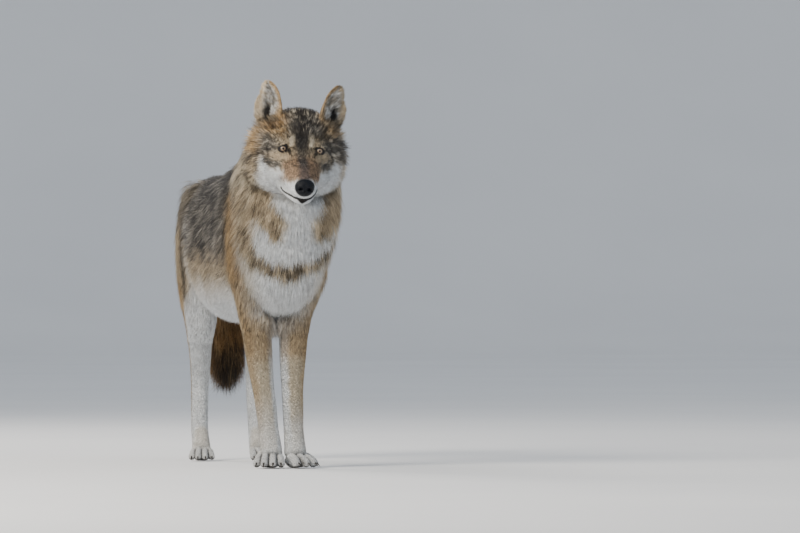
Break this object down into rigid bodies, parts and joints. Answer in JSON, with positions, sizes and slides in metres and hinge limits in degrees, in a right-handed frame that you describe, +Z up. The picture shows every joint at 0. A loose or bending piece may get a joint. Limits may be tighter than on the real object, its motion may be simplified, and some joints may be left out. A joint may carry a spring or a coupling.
{
  "type": "grey wolf",
  "caption": "Life-size standing grey wolf in winter coat, head up and turned a little to its right, tail hanging: a still display model.",
  "frame": {"origin": "on the floor under the middle of the animal's overall box", "axes": "+Z up; the wolf faces -Y and its left side is towards +X"},
  "size_m": [0.2962, 1.1098, 0.9296],
  "materials": {
    "saddle_coat": "dense fur, grey with black tips along the back",
    "mane_coat": "long fur, tan and grey with dark ticking",
    "face_coat": "short fur, grey and tan with a cinnamon muzzle",
    "pale_coat": "short fur, off-white",
    "leg_coat": "short fur, pale tan",
    "tail_coat": "long bushy fur, brown with a black tip",
    "ear_coat": "short velvety fur, orange tan",
    "eye": "wet and glossy, amber with a round black pupil",
    "nose_leather": "moist black skin with a fine grain"
  },
  "bodies": {
    "root": {"trunk": "saddle_coat", "neck": "mane_coat", "head": "face_coat", "jaw": "pale_coat", "nose": "nose_leather", "eye_left": "eye", "eye_right": "eye", "ear_left": "ear_coat", "ear_right": "ear_coat", "shoulder_left": "mane_coat", "foreleg_left": "leg_coat", "forepaw_left": "leg_coat", "thigh_left": "mane_coat", "hindleg_left": "leg_coat", "hindpaw_left": "leg_coat", "shoulder_right": "mane_coat", "foreleg_right": "leg_coat", "forepaw_right": "leg_coat", "thigh_right": "mane_coat", "hindleg_right": "leg_coat", "hindpaw_right": "leg_coat", "tail": "tail_coat"}
  },
  "joints": []
}
